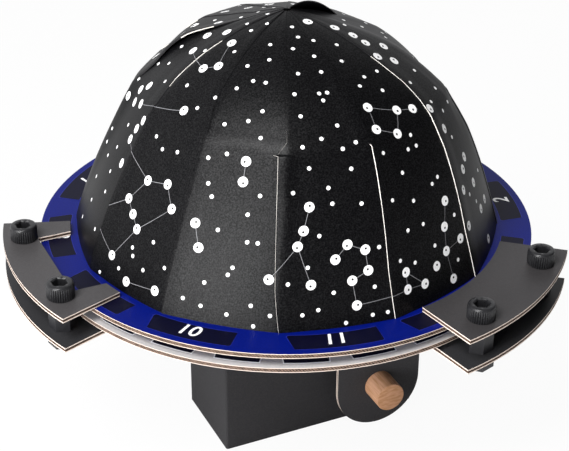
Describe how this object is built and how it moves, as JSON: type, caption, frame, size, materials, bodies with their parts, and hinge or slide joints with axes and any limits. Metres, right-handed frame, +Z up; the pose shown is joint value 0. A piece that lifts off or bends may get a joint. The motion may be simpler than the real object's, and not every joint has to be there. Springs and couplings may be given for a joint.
{
  "type": "planetarium projector",
  "caption": "Tabletop card planetarium: pin-pricked gore dome turning on dial rings held by screwed clamps, on a head that tilts about a dowel in a folded stand.",
  "frame": {"origin": "on the table under the dome's axis, at the stand's underside", "axes": "+Z up along the dome's axis, +X along the stand towards the tilt pivot, +Y along the dowel towards the back"},
  "size_m": [0.204, 0.2146, 0.1772],
  "materials": {
    "dome_card": "satin printed",
    "blue_board": "satin printed",
    "pale_board": "matte printed",
    "raw_board": "matte",
    "grey_board": "matte printed",
    "black_board": "matte printed",
    "stand_card": "matte",
    "dowel_wood": "bare",
    "black_plastic": "satin",
    "lamp_plastic": "matte",
    "circuit": "gloss",
    "lamp_lens": "clear",
    "cell_steel": "satin",
    "contact_brass": "satin",
    "switch_plastic": "satin"
  },
  "bodies": {
    "stand": {"stand_shell": "stand_card", "stand_floor": "stand_card", "pivot_dowel": "dowel_wood"},
    "head": {"base_plate": "black_board", "ear_front": "stand_card", "ear_rear": "stand_card", "glide_pads": "raw_board", "clamp_plate_front": "grey_board", "clamp_plate_rear": "grey_board", "clamp_plate_pointer": "grey_board", "clamp_screws": "black_plastic", "clamp_spacers": "black_plastic", "clamp_nuts": "black_plastic", "lamp_housing": "lamp_plastic", "lamp_cover": "lamp_plastic", "circuit_board": "circuit", "led": "lamp_lens", "coin_cell": "cell_steel", "cell_contact": "contact_brass", "cell_spring": "contact_brass", "switch_body": "black_plastic"},
    "slider": {"switch_slider": "switch_plastic"},
    "hours": {"hour_ring": "pale_board"},
    "dome": {"month_ring": "blue_board", "spacer_ring": "raw_board", "apex_patch": "dome_card", "dome_gore_01": "dome_card", "dome_gore_02": "dome_card", "dome_gore_03": "dome_card", "dome_gore_04": "dome_card", "dome_gore_05": "dome_card", "dome_gore_06": "dome_card", "dome_gore_07": "dome_card", "dome_gore_08": "dome_card", "dome_gore_09": "dome_card", "dome_gore_10": "dome_card", "dome_gore_11": "dome_card", "dome_gore_12": "dome_card"}
  },
  "joints": [
    {"name": "head_tilt", "type": "hinge", "parent": "stand", "child": "head", "pos_m": [0.0278, 0, 0.0203], "axis": [0, 1, 0], "range_deg": [0, 30]},
    {"name": "dome_spin", "type": "hinge", "parent": "head", "child": "dome", "pos_m": [0, 0, 0.0887], "axis": [0, 0, 1], "continuous": true},
    {"name": "hour_ring_spin", "type": "hinge", "parent": "head", "child": "hours", "pos_m": [0, 0, 0.0821], "axis": [0, 0, 1], "continuous": true},
    {"name": "switch_slide", "type": "slide", "parent": "head", "child": "slider", "axis": [1, 0, 0], "range_m": [0, 0.002]}
  ]
}
